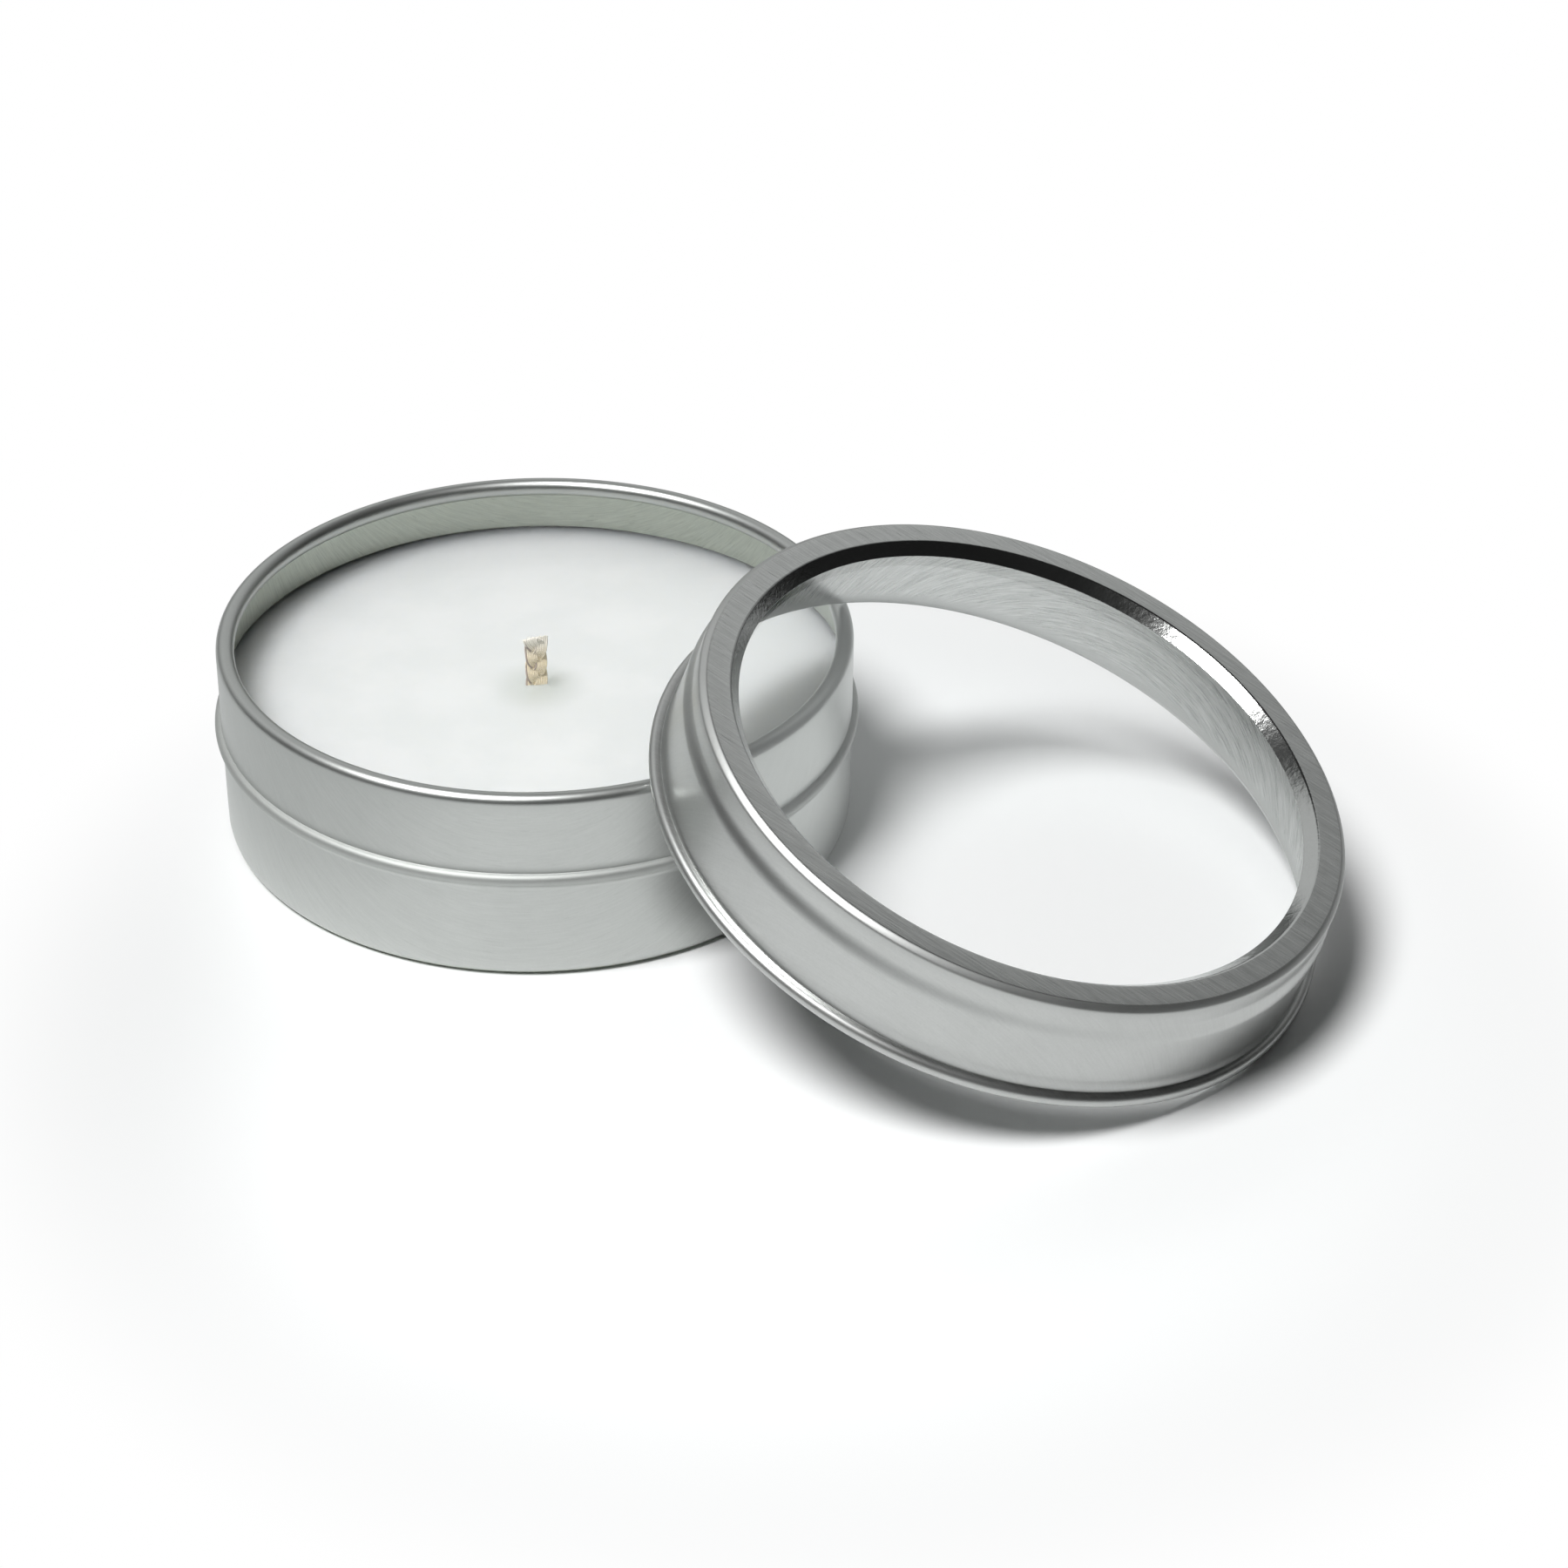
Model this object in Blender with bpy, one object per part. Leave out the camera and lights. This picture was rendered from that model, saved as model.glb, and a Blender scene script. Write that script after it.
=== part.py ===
"""Shallow seamless candle tin with its window lid leaning against it.

The tin stands on z = 0 with its axis on +Z. The lid lies to its +X side: one point of its
curled edge is on the ground and the opposite side of that edge rests on the tin's rim.
Metres, +Z up.
"""
import bpy
import bmesh
import math

MM = 0.001
SEGMENTS = 48               # sides of every turned piece
SHEET = 0.3 * MM            # wall of the drawn sheet
GAP = 0.3 * MM              # clearance between neighbouring pieces

# ---- tin body -------------------------------------------------------------------------
TIN_RADIUS = 33.0 * MM      # outside of the straight wall
BASE_CORNER = 1.0 * MM      # outside radius where the wall meets the base
RIM_CURL = 0.95 * MM        # outside radius of the inward curl
RIM_CENTRE_Z = 20.05 * MM   # so the tin is 21.0 mm tall
RIM_WRAP = 250.0            # degrees that the curl turns
BEAD_Z = 11.5 * MM          # middle of the stop bead
BEAD_RADIUS = 0.75 * MM     # how far the bead stands out of the wall
BEAD_FILLET = 1.3 * MM      # length of the soft blend under the bead

# ---- candle ---------------------------------------------------------------------------
WAX_TOP = 14.3 * MM
WICK_WIDTH = 2.4 * MM
WICK_THICK = 0.95 * MM
WICK_TOP = 20.4 * MM
WICK_TURN = 15.0            # degrees about Z, the flat face looks along -Y
WICK_CENTRE = (0.0, -0.8 * MM)
TAB_RADIUS = 9.0 * MM       # sustainer's flat disc
TAB_NECK_RADIUS = 2.3 * MM
TAB_NECK_HEIGHT = 3.0 * MM
GLUE_RADIUS = 6.5 * MM
GLUE_THICK = 0.4 * MM

# ---- lid, in its own frame: z = 0 on the outside face of the flange ---------------------
LID_HEIGHT = 12.15 * MM
WINDOW_RADIUS = 29.35 * MM  # clear opening inside the turned-down lip
LIP_ROUND = 1.0 * MM
LIP_DEPTH = 1.1 * MM
FLANGE_RADIUS = 33.45 * MM  # outside of the narrow upper band
FLANGE_CORNER = 0.8 * MM
STEP_TOP = 3.2 * MM         # depth at which the skirt starts to widen
STEP_BOTTOM = 4.0 * MM
SKIRT_RADIUS = 34.2 * MM    # outside of the wide lower skirt
LID_CURL = 0.65 * MM        # outside radius of the outward curl
LID_CURL_CENTRE = 34.55 * MM
PANE_RADIUS = 32.8 * MM
PANE_THICK = 0.3 * MM

# ---- how the lid leans -------------------------------------------------------------------
LEAN_AZIMUTH = -28.05       # degrees, the way the low side points, seen from above
LEAN_TILT = 19.74           # degrees from flat
FOOT_X = 75.05 * MM         # the curl's point on the ground
FOOT_Y = -39.96 * MM


def clear_scene():
    for ob in list(bpy.data.objects):
        bpy.data.objects.remove(ob, do_unlink=True)


def material(name, colour, roughness, metallic=0.0, transmission=0.0):
    mat = bpy.data.materials.new(name)
    mat.use_nodes = True
    bsdf = mat.node_tree.nodes["Principled BSDF"]
    bsdf.inputs["Base Color"].default_value = (*colour, 1.0)
    bsdf.inputs["Roughness"].default_value = roughness
    bsdf.inputs["Metallic"].default_value = metallic
    bsdf.inputs["Transmission Weight"].default_value = transmission
    mat.diffuse_color = (*colour, 1.0)
    return mat


def arc(cx, cz, radius, start, end, steps):
    """Points of an arc from start to end degrees, both ends included."""
    pts = []
    for i in range(steps + 1):
        a = math.radians(start + (end - start) * i / steps)
        pts.append((cx + radius * math.cos(a), cz + radius * math.sin(a)))
    return pts


def tidy(points, closed):
    """Drop points that repeat their neighbour."""
    out = []
    for p in points:
        if not out or math.dist(p, out[-1]) > 1e-6:
            out.append(p)
    if closed and math.dist(out[0], out[-1]) <= 1e-6:
        out.pop()
    return out


def turned(name, profile, mat, closed=False, parent=None):
    """Turn a profile of (radius, height) points about Z into one closed body.

    An open profile starts and ends on the axis. A closed one is a ring's section.
    """
    profile = tidy(profile, closed)
    bm = bmesh.new()
    rings = []
    for r, z in profile:
        if r < 1e-7:
            rings.append([bm.verts.new((0.0, 0.0, z))])
            continue
        ring = []
        for k in range(SEGMENTS):
            a = 2.0 * math.pi * k / SEGMENTS
            ring.append(bm.verts.new((r * math.cos(a), r * math.sin(a), z)))
        rings.append(ring)
    pairs = list(zip(rings, rings[1:]))
    if closed:
        pairs.append((rings[-1], rings[0]))
    for low, high in pairs:
        for k in range(SEGMENTS):
            n = (k + 1) % SEGMENTS
            if len(low) == 1:
                bm.faces.new((low[0], high[k], high[n]))
            elif len(high) == 1:
                bm.faces.new((low[k], high[0], low[n]))
            else:
                bm.faces.new((low[k], high[k], high[n], low[n]))
    bmesh.ops.recalc_face_normals(bm, faces=bm.faces)
    return finish(name, bm, mat, parent)


def finish(name, bm, mat, parent=None):
    mesh = bpy.data.meshes.new(name)
    bm.to_mesh(mesh)
    bm.free()
    mesh.materials.append(mat)
    mesh.shade_smooth()
    mesh.set_sharp_from_angle(angle=math.radians(35.0))
    ob = bpy.data.objects.new(name, mesh)
    bpy.context.scene.collection.objects.link(ob)
    ob.parent = parent
    return ob


def box(name, size, mat, bevel=0.0):
    """A box centred on the origin, with its long edges rounded by a bevel if asked."""
    bm = bmesh.new()
    bmesh.ops.create_cube(bm, size=1.0)
    bmesh.ops.scale(bm, vec=size, verts=bm.verts)
    if bevel:
        long_edges = [e for e in bm.edges if abs(e.verts[0].co.z - e.verts[1].co.z) > 1e-6]
        bmesh.ops.bevel(bm, geom=long_edges, offset=bevel, segments=3, affect="EDGES",
                        profile=0.5, clamp_overlap=True)
    bmesh.ops.recalc_face_normals(bm, faces=bm.faces)
    return finish(name, bm, mat)


def cutter(name, size, location, turn):
    ob = box(name, size, MAT_STEEL)
    ob.location = location
    ob.rotation_euler = (0.0, 0.0, math.radians(turn))
    ob.hide_render = True
    ob.display_type = "WIRE"
    return ob


def cut(target, tool):
    mod = target.modifiers.new(tool.name, "BOOLEAN")
    mod.operation = "DIFFERENCE"
    mod.solver = "EXACT"
    mod.object = tool


# ==== materials ==========================================================================
clear_scene()
MAT_TIN = material("tinplate", (0.56, 0.58, 0.56), 0.28, 1.0)
MAT_WAX = material("wax", (0.86, 0.87, 0.86), 0.42)
MAT_WICK = material("cotton braid", (0.72, 0.69, 0.62), 0.95)
MAT_STEEL = material("tinned steel tab", (0.62, 0.63, 0.64), 0.3, 1.0)
MAT_GLUE = material("hot glue", (0.85, 0.83, 0.76), 0.4)
MAT_PANE = material("clear sheet", (0.95, 0.97, 0.97), 0.05, 0.0, 0.95)

# ==== tin body: one drawn cup, its stop bead rolled out and its rim curled in ==============
T = TIN_RADIUS
inner = T - SHEET
cup = [(0.0, 0.0)]
cup += arc(T - BASE_CORNER, BASE_CORNER, BASE_CORNER, -90, 0, 5)
blend_low = BEAD_Z - BEAD_RADIUS - BEAD_FILLET * 0.5
for i in range(5):                       # soft blend from the wall out to the bead
    u = i / 4.0
    cup.append((T + BEAD_RADIUS * 0.55 * u ** 2.2, blend_low + BEAD_FILLET * 0.72 * u))
cup += arc(T, BEAD_Z, BEAD_RADIUS, -42, 90, 5)
cup += arc(T - RIM_CURL, RIM_CENTRE_Z, RIM_CURL, 0, RIM_WRAP, 10)
cup += arc(T - RIM_CURL, RIM_CENTRE_Z, RIM_CURL - SHEET, RIM_WRAP, 0, 7)
groove = BEAD_RADIUS - SHEET             # the bead is hollow from the inside
lead = math.degrees(math.acos(-SHEET / groove))
cup += arc(T, BEAD_Z, groove, lead, -lead, 4)
cup += arc(T - BASE_CORNER, BASE_CORNER, BASE_CORNER - SHEET, 0, -90, 4)
cup.append((0.0, SHEET))
tin = turned("tin_body", cup, MAT_TIN)

# ==== candle: glue spot, sustainer tab, wick and the poured wax =============================
z = SHEET + GAP * 0.9
turned("wick_adhesive", [(0.0, z), (GLUE_RADIUS, z), (GLUE_RADIUS, z + GLUE_THICK),
                         (0.0, z + GLUE_THICK)], MAT_GLUE)
tab_z = z + GLUE_THICK + GAP
neck = TAB_NECK_RADIUS
tab = turned("wick_sustainer", [
    (0.0, tab_z), (TAB_RADIUS, tab_z), (TAB_RADIUS, tab_z + SHEET),
    (neck + 0.6 * MM, tab_z + SHEET), (neck, tab_z + SHEET + 0.6 * MM),
    (neck - 0.15 * MM, tab_z + TAB_NECK_HEIGHT), (0.0, tab_z + TAB_NECK_HEIGHT)], MAT_STEEL)
slot = (WICK_WIDTH + 2 * GAP, WICK_THICK + 2 * GAP)
wx, wy = WICK_CENTRE

# the tab, its glue and the wick stand on one line, a little in front of the tin's axis
for ob in (tab, bpy.data.objects["wick_adhesive"]):
    ob.location = (wx, wy, 0.0)

wax_low = SHEET + GAP
wax = turned("wax_fill", [
    (0.0, wax_low), (T - SHEET - BASE_CORNER, wax_low), (T - SHEET - GAP, wax_low + 0.9 * MM),
    (T - SHEET - GAP, WAX_TOP - 0.25 * MM), (T - SHEET - GAP - 0.25 * MM, WAX_TOP),
    (0.0, WAX_TOP)], MAT_WAX)

pocket = TAB_RADIUS + GAP                # the wax sets around the tab and its glue
pocket_top = tab_z + SHEET + GAP
neck_top = tab_z + TAB_NECK_HEIGHT + GAP
pocket_tool = turned("pocket_guide", [
    (0.0, wax_low - MM), (pocket, wax_low - MM), (pocket, pocket_top),
    (neck + 2 * GAP + 0.6 * MM, pocket_top), (neck + 2 * GAP, neck_top), (0.0, neck_top)],
    MAT_WAX)
pocket_tool.location = (wx, wy, 0.0)
pocket_tool.hide_render = True
pocket_tool.display_type = "WIRE"
cut(wax, pocket_tool)

slot_height = WAX_TOP + 4.0 * MM
slot_tool = cutter("slot_guide", (*slot, slot_height), (wx, wy, slot_height / 2 - 1.0 * MM),
                   WICK_TURN)
cut(tab, slot_tool)
cut(wax, slot_tool)

wick_low = tab_z + GAP
wick = box("wick", (WICK_WIDTH, WICK_THICK, WICK_TOP - wick_low), MAT_WICK, bevel=0.3 * MM)
wick.location = (wx, wy, (WICK_TOP + wick_low) / 2)
wick.rotation_euler = (0.0, 0.0, math.radians(WICK_TURN))

# ==== lid: one drawn ring, leaning on the tin ==============================================
tilt = math.radians(LEAN_TILT)
azimuth = math.radians(LEAN_AZIMUTH)
lean = bpy.data.objects.new("lid_frame", None)
bpy.context.scene.collection.objects.link(lean)
lean.rotation_euler = (0.0, tilt, azimuth)
drop = LID_HEIGHT - LID_CURL             # depth of the curl's middle under the flange
foot = (LID_CURL_CENTRE * math.cos(tilt) - drop * math.sin(tilt),
        LID_CURL_CENTRE * -math.sin(tilt) - drop * math.cos(tilt))
lean.location = (FOOT_X - foot[0] * math.cos(azimuth), FOOT_Y - foot[0] * math.sin(azimuth),
                 LID_CURL - foot[1])

lip_x = WINDOW_RADIUS + LIP_ROUND
cor_x = FLANGE_RADIUS - FLANGE_CORNER
outside = [(WINDOW_RADIUS, -LIP_DEPTH)]
outside += arc(lip_x, -LIP_ROUND, LIP_ROUND, 180, 90, 5)
outside += arc(cor_x, -FLANGE_CORNER, FLANGE_CORNER, 90, 0, 5)
for i in range(5):                       # the skirt widens in one soft step
    u = i / 4.0
    s = u * u * (3.0 - 2.0 * u)
    outside.append((FLANGE_RADIUS + (SKIRT_RADIUS - FLANGE_RADIUS) * s,
                    -STEP_TOP - (STEP_BOTTOM - STEP_TOP) * u))
outside += arc(LID_CURL_CENTRE, -drop, LID_CURL - SHEET, 180, 450, 7)
inside = arc(LID_CURL_CENTRE, -drop, LID_CURL, 450, 180, 10)
for i in range(5):
    u = 1.0 - i / 4.0
    s = u * u * (3.0 - 2.0 * u)
    inside.append((FLANGE_RADIUS - SHEET + (SKIRT_RADIUS - FLANGE_RADIUS) * s,
                   -STEP_TOP - SHEET * 0.6 - (STEP_BOTTOM - STEP_TOP) * u))
inside += arc(cor_x, -FLANGE_CORNER, FLANGE_CORNER - SHEET, 0, 90, 4)
inside += arc(lip_x, -LIP_ROUND, LIP_ROUND - SHEET, 90, 180, 4)
inside.append((WINDOW_RADIUS + SHEET, -LIP_DEPTH))
turned("lid_shell", outside + inside, MAT_TIN, closed=True, parent=lean)

pane_top = -LIP_DEPTH - GAP
turned("window_pane", [(0.0, pane_top - PANE_THICK), (PANE_RADIUS, pane_top - PANE_THICK),
                       (PANE_RADIUS, pane_top), (0.0, pane_top)], MAT_PANE, parent=lean)
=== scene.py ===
# %% [markdown]
# # A candle tin with a window lid
#
# The object is a shallow drawn tin filled with white wax, and its lid, which leans on the tin.
# The lid is only a ring with a clear window in it. Almost everything here is *turned*: one
# section carried round an axis. So the lesson is about drawing good sections, about metal
# that looks rolled and pressed, and about a short plaited wick.
#
# The imported CAD model is the frame, and it is loaded first. The pieces here keep its sizes and
# places with small differences: the sheet is thinner, the wax a little fuller, the lid's skirt
# a little narrower, and the wick stands half a millimetre further forward.

# %% Load the frame
import math
import bpy
import numpy as np
from mathutils import Matrix, Vector


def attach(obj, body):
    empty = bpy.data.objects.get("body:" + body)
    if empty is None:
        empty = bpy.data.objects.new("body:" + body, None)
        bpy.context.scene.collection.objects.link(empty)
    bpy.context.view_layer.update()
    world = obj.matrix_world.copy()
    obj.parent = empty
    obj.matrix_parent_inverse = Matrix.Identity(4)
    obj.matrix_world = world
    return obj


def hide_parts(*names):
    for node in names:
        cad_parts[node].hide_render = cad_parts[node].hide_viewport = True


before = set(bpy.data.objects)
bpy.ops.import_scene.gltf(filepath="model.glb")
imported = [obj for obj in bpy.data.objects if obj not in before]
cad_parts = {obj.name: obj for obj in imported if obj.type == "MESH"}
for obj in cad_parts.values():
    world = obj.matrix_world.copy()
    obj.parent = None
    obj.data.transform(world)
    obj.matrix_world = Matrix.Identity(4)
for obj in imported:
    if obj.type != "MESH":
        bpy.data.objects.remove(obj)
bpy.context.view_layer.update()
MM = 0.001

# %% [markdown]
# ## The camera
#
# A product picture of a small thing is taken from close by with a long lens, looking down at
# about a third of a right angle. The near side of the tin is then clearly larger than the far
# side. A camera's own matrix is the simplest way to place it: pitch about X, then a very small
# roll about the line of sight.

# %% Place the camera
CAMERA_AT = Vector((0.02596, -0.32620, 0.21318))
CAMERA_DOWN = 32.946        # degrees below the horizon
CAMERA_ROLL = 0.80          # degrees
LENS = 83.68                # mm on a 36 mm wide sensor

scene = bpy.context.scene
camera = bpy.data.objects.new("camera", bpy.data.cameras.new("camera"))
scene.collection.objects.link(camera)
camera.data.sensor_width = 36.0
camera.data.lens = LENS
camera.data.clip_start, camera.data.clip_end = 0.01, 20.0
camera.matrix_world = (Matrix.Translation(CAMERA_AT)
                       @ Matrix.Rotation(math.radians(90.0 - CAMERA_DOWN), 4, "X")
                       @ Matrix.Rotation(math.radians(CAMERA_ROLL), 4, "Z"))
scene.camera = camera
print("camera stands", round(CAMERA_AT.length / MM), "mm from the middle of the tin")

# %% [markdown]
# ## Sections
#
# A turned piece could be made with the Screw modifier. Here the section is an array of
# (radius, height) points instead, because every point then also knows how far it lies from
# the middle of the flat round *blank* that the sheet was pressed from. That distance is what
# puts the grain of the metal in the right place later.

# %% Arcs, joined runs and even steps
def arc(radius_at, height_at, radius, start, end, steps=14):
    """Points on a circle of the section, from start to end degrees, both included."""
    turn = np.radians(np.linspace(start, end, steps + 1))
    return np.stack([radius_at + radius * np.cos(turn), height_at + radius * np.sin(turn)], 1)


def chained(start, *arcs):
    """Arcs of different radii that run on smoothly: each is (radius, from, to) in degrees."""
    run = [np.asarray(start, float)]
    for radius, a, b in arcs:
        middle = run[-1] - radius * np.array([math.cos(math.radians(a)),
                                              math.sin(math.radians(a))])
        run.extend(arc(*middle, radius, a, b, 7)[1:])
    return np.array(run)


def ease(radius_from, radius_to, height_from, height_to, steps=12):
    """A soft S from one radius to another: the radius follows 3u^2 - 2u^3 along the height."""
    u = np.linspace(0.0, 1.0, steps + 1)
    return np.stack([radius_from + (radius_to - radius_from) * u * u * (3.0 - 2.0 * u),
                     height_from + (height_to - height_from) * u], 1)


def joined(*runs):
    """The runs end to end, without the points that repeat their neighbour."""
    points = np.vstack([np.atleast_2d(np.asarray(run, float)) for run in runs])
    step = np.hypot(*np.diff(points, axis=0).T)
    return points[np.r_[True, step > 1e-7]]


def walked(section):
    """How far along the section each of its points lies."""
    return np.r_[0.0, np.cumsum(np.hypot(*np.diff(section, axis=0).T))]


def stepped(section, longest, close=0.035 * MM):
    """The section with extra points: straight stretches get one every longest metres, and a
    corner sharper than 20 degrees, or an end, gets one close by on each side, so that smooth
    shading doesn't bend the faces that meet there."""
    along = walked(section)
    way = np.arctan2(*np.diff(section, axis=0).T[::-1])
    bend = np.abs((np.diff(way) + np.pi) % (2.0 * np.pi) - np.pi)
    sharp = np.r_[0.0, along[1:-1][bend > math.radians(20.0)], along[-1]]
    more = [np.linspace(a, b, max(1, math.ceil((b - a) / longest)), endpoint=False)
            for a, b in zip(along[:-1], along[1:])]
    beside = np.r_[sharp - close, sharp + close]
    fine = np.sort(np.r_[np.concatenate(more), along[-1], beside[(beside > 0)
                                                                & (beside < along[-1])]])
    fine = fine[np.r_[True, np.diff(fine) > 0.2 * close]]
    return np.stack([np.interp(fine, along, section[:, k]) for k in (0, 1)], 1)


# %% Turn a section into a mesh
def turned(name, section, flat, around=288, marks=None, place=None, shake=0.0, lift=None):
    """A turned surface.

    Point (i, j) lies at angle a = 2 pi j / around, at (r_i cos a, r_i sin a, h_i). Its place on
    the flat blank is (f_i cos a, f_i sin a), kept as a UV map called "blank", in metres.
    A section that starts and ends on the axis gets a point at each pole, any other closes on
    itself. shake moves the wall in and out by a few slow waves, as pressed sheet does, and
    lift(x, y, i) returns an extra height. place is the matrix that puts the piece in the frame.
    marks holds named values, one for each point of the section, for the material to read.
    """
    section, flat = np.asarray(section, float), np.asarray(flat, float)
    marks = {key: np.asarray(value, float) for key, value in (marks or {}).items()}
    nxt = np.roll(section, -1, 0)
    if np.sum(section[:, 0] * nxt[:, 1] - nxt[:, 0] * section[:, 1]) < 0:
        section, flat = section[::-1], flat[::-1]
        marks = {key: value[::-1] for key, value in marks.items()}
    poles = section[0, 0] < 1e-9 and section[-1, 0] < 1e-9
    rows = slice(1, -1) if poles else slice(None)
    radius, height = section[rows, 0][:, None], section[rows, 1][:, None]
    angle = np.linspace(0.0, 2.0 * np.pi, around, endpoint=False)[None, :]
    wave = (np.cos(2 * angle + 0.6) + 0.6 * np.cos(3 * angle + 2.1 + 40.0 * height)
            + 0.35 * np.cos(7 * angle + 0.9 - 90.0 * height))
    bent = radius + shake * wave * np.clip(np.abs(height) / (4 * MM), 0.0, 1.0)
    x, y = bent * np.cos(angle), bent * np.sin(angle)
    z = height + np.zeros_like(angle)
    if lift is not None:
        z = z + lift(x, y, np.arange(len(section))[rows][:, None])
    points = np.stack([x, y, z], -1).reshape(-1, 3)
    reach = flat[rows][:, None]
    blank = np.stack([reach * np.cos(angle), reach * np.sin(angle)], -1).reshape(-1, 2)
    spread = {key: np.repeat(value[rows], around) for key, value in marks.items()}
    n = len(radius)
    i = np.arange(n - 1 if poles else n)[:, None]
    j = np.arange(around)[None, :]
    up, on = (i + 1) % n, (j + 1) % around
    quads = np.stack([i * around + j, i * around + on, up * around + on, up * around + j], -1)
    faces = quads.reshape(-1, 4).tolist()
    if poles:
        low, high, j = n * around, n * around + 1, j[0]
        last = (n - 1) * around
        on = (j + 1) % around
        faces += np.stack([np.full(around, low), on, j], -1).tolist()
        faces += np.stack([last + j, last + on, np.full(around, high)], -1).tolist()
        tops = [section[0, 1], section[-1, 1]]
        if lift is not None:
            ends, axis = np.array([0, len(section) - 1]), np.zeros(2)
            tops = tops + lift(axis, axis, ends)
        points = np.vstack([points, [[0, 0, tops[0]], [0, 0, tops[1]]]])
        blank = np.vstack([blank, [[0, 0], [0, 0]]])
        spread = {key: np.r_[spread[key], marks[key][0], marks[key][-1]] for key in marks}
    return made(name, points, faces, blank, spread, place)


def made(name, points, faces, blank=None, marks=None, place=None):
    """A smooth mesh object at the origin from arrays, with its UV map and named values."""
    if place is not None:
        turn = np.array(place)[:3]
        points = points @ turn[:, :3].T + turn[:, 3]
    mesh = bpy.data.meshes.new(name)
    mesh.from_pydata(points.tolist(), [], faces)
    if blank is not None:
        corner = np.empty(len(mesh.loops), int)
        mesh.loops.foreach_get("vertex_index", corner)
        mesh.uv_layers.new(name="blank").data.foreach_set("uv", blank[corner].ravel())
    for key, value in (marks or {}).items():
        mesh.attributes.new(key, "FLOAT", "POINT").data.foreach_set("value", value)
    mesh.shade_smooth()
    mesh.update()
    piece = bpy.data.objects.new(name, mesh)
    scene.collection.objects.link(piece)
    print(name, "has", len(mesh.vertices), "points and", len(mesh.polygons), "faces")
    return piece


# %% [markdown]
# ## Writing shaders as sums
#
# A node tree is hard to read back. Wrapping a socket in a small class lets the same tree be
# written as arithmetic: `0.3 + 0.1 * streaks` adds its own Math nodes. Every other node comes
# from one method, `add`, which takes the node's type, its settings and its inputs.

# %% A socket that does arithmetic, and the recipe that adds nodes
class Wire:
    """One output socket. + - * with numbers or other wires add Math nodes."""

    def __init__(self, recipe, socket):
        self.recipe, self.socket = recipe, socket

    def maths(self, operation, *values, clamp=False):
        return self.recipe.add("ShaderNodeMath", {"operation": operation, "use_clamp": clamp},
                               dict(enumerate(values)))

    def __add__(self, other): return self.maths("ADD", self, other)
    def __sub__(self, other): return self.maths("SUBTRACT", self, other)
    def __mul__(self, other): return self.maths("MULTIPLY", self, other)
    def __radd__(self, other): return self.maths("ADD", other, self)
    def __rsub__(self, other): return self.maths("SUBTRACT", other, self)
    def __rmul__(self, other): return self.maths("MULTIPLY", other, self)

    def between(self, low, high):
        """0 below low, 1 above high, and a smooth rise from one to the other."""
        return self.recipe.add("ShaderNodeMapRange", {"interpolation_type": "SMOOTHSTEP"},
                               {"Value": self, "From Min": low, "From Max": high})

    def sine(self):
        return self.maths("SINE", self)

    def kept(self):
        """The value, kept between 0 and 1."""
        return self.maths("ADD", self, 0.0, clamp=True)


class Recipe:
    """The node tree of one material, or of the world."""

    def __init__(self, name, world=False):
        blocks = bpy.data.worlds if world else bpy.data.materials
        self.block = blocks.new(name)
        self.block.use_nodes = True
        self.tree = self.block.node_tree
        self.tree.nodes.clear()

    def add(self, kind, settings=None, inputs=None, output=0):
        """Add one node, and return the chosen output as a wire."""
        node = self.tree.nodes.new(kind)
        for key, value in (settings or {}).items():
            setattr(node, key, value)
        for key, value in (inputs or {}).items():
            if isinstance(value, Wire):
                self.tree.links.new(value.socket, node.inputs[key])
            else:
                node.inputs[key].default_value = value
        return Wire(self, node.outputs[output]) if len(node.outputs) else None

    def colour(self, factor, first, second):
        """A colour that goes from first at 0 to second at 1. Either may be a wire."""
        as_input = lambda c: c if isinstance(c, Wire) else (*c, 1.0)
        return self.add("ShaderNodeMix", {"data_type": "RGBA"},
                        {0: factor, 6: as_input(first), 7: as_input(second)}, output=2)

    def space(self):
        """Object coordinates, which are metres in the shared frame."""
        return self.add("ShaderNodeTexCoord", output=3)

    def mark(self, key):
        """One of the named values that `made` stored on the points."""
        return self.add("ShaderNodeAttribute", {"attribute_name": key}, output=2)

    def split(self, vector):
        """The three parts of a vector, as wires."""
        node = self.add("ShaderNodeSeparateXYZ", {}, {"Vector": vector}).socket.node
        return [Wire(self, socket) for socket in node.outputs]

    def distance(self, vector, place):
        return self.add("ShaderNodeVectorMath", {"operation": "DISTANCE"},
                        {0: vector, 1: place}, output=1)

    def noise(self, vector, scale, detail=2.0, rough=0.5):
        return self.add("ShaderNodeTexNoise", {},
                        {"Vector": vector, "Scale": scale, "Detail": detail,
                         "Roughness": rough})

    def mapped(self, vector, scale=(1, 1, 1), turn=0.0, shift=(0, 0, 0)):
        return self.add("ShaderNodeMapping", {"vector_type": "POINT"},
                        {"Vector": vector, "Scale": scale, "Location": shift,
                         "Rotation": (0.0, 0.0, math.radians(turn))})

    def bump(self, height, distance, strength=1.0, under=None):
        inputs = {"Height": height, "Distance": distance, "Strength": strength}
        if under is not None:
            inputs["Normal"] = under
        return self.add("ShaderNodeBump", {}, inputs)

    def surface(self, **inputs):
        """The Principled shader, put on the output. Input names have _ for a space."""
        named = {key.replace("_", " "): value for key, value in inputs.items()}
        shader = self.add("ShaderNodeBsdfPrincipled", {}, named)
        self.add("ShaderNodeOutputMaterial", {}, {"Surface": shader})
        return shader


def finish_with(piece, material):
    """Give a piece its material."""
    piece.data.materials.clear()
    piece.data.materials.append(material)


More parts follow.
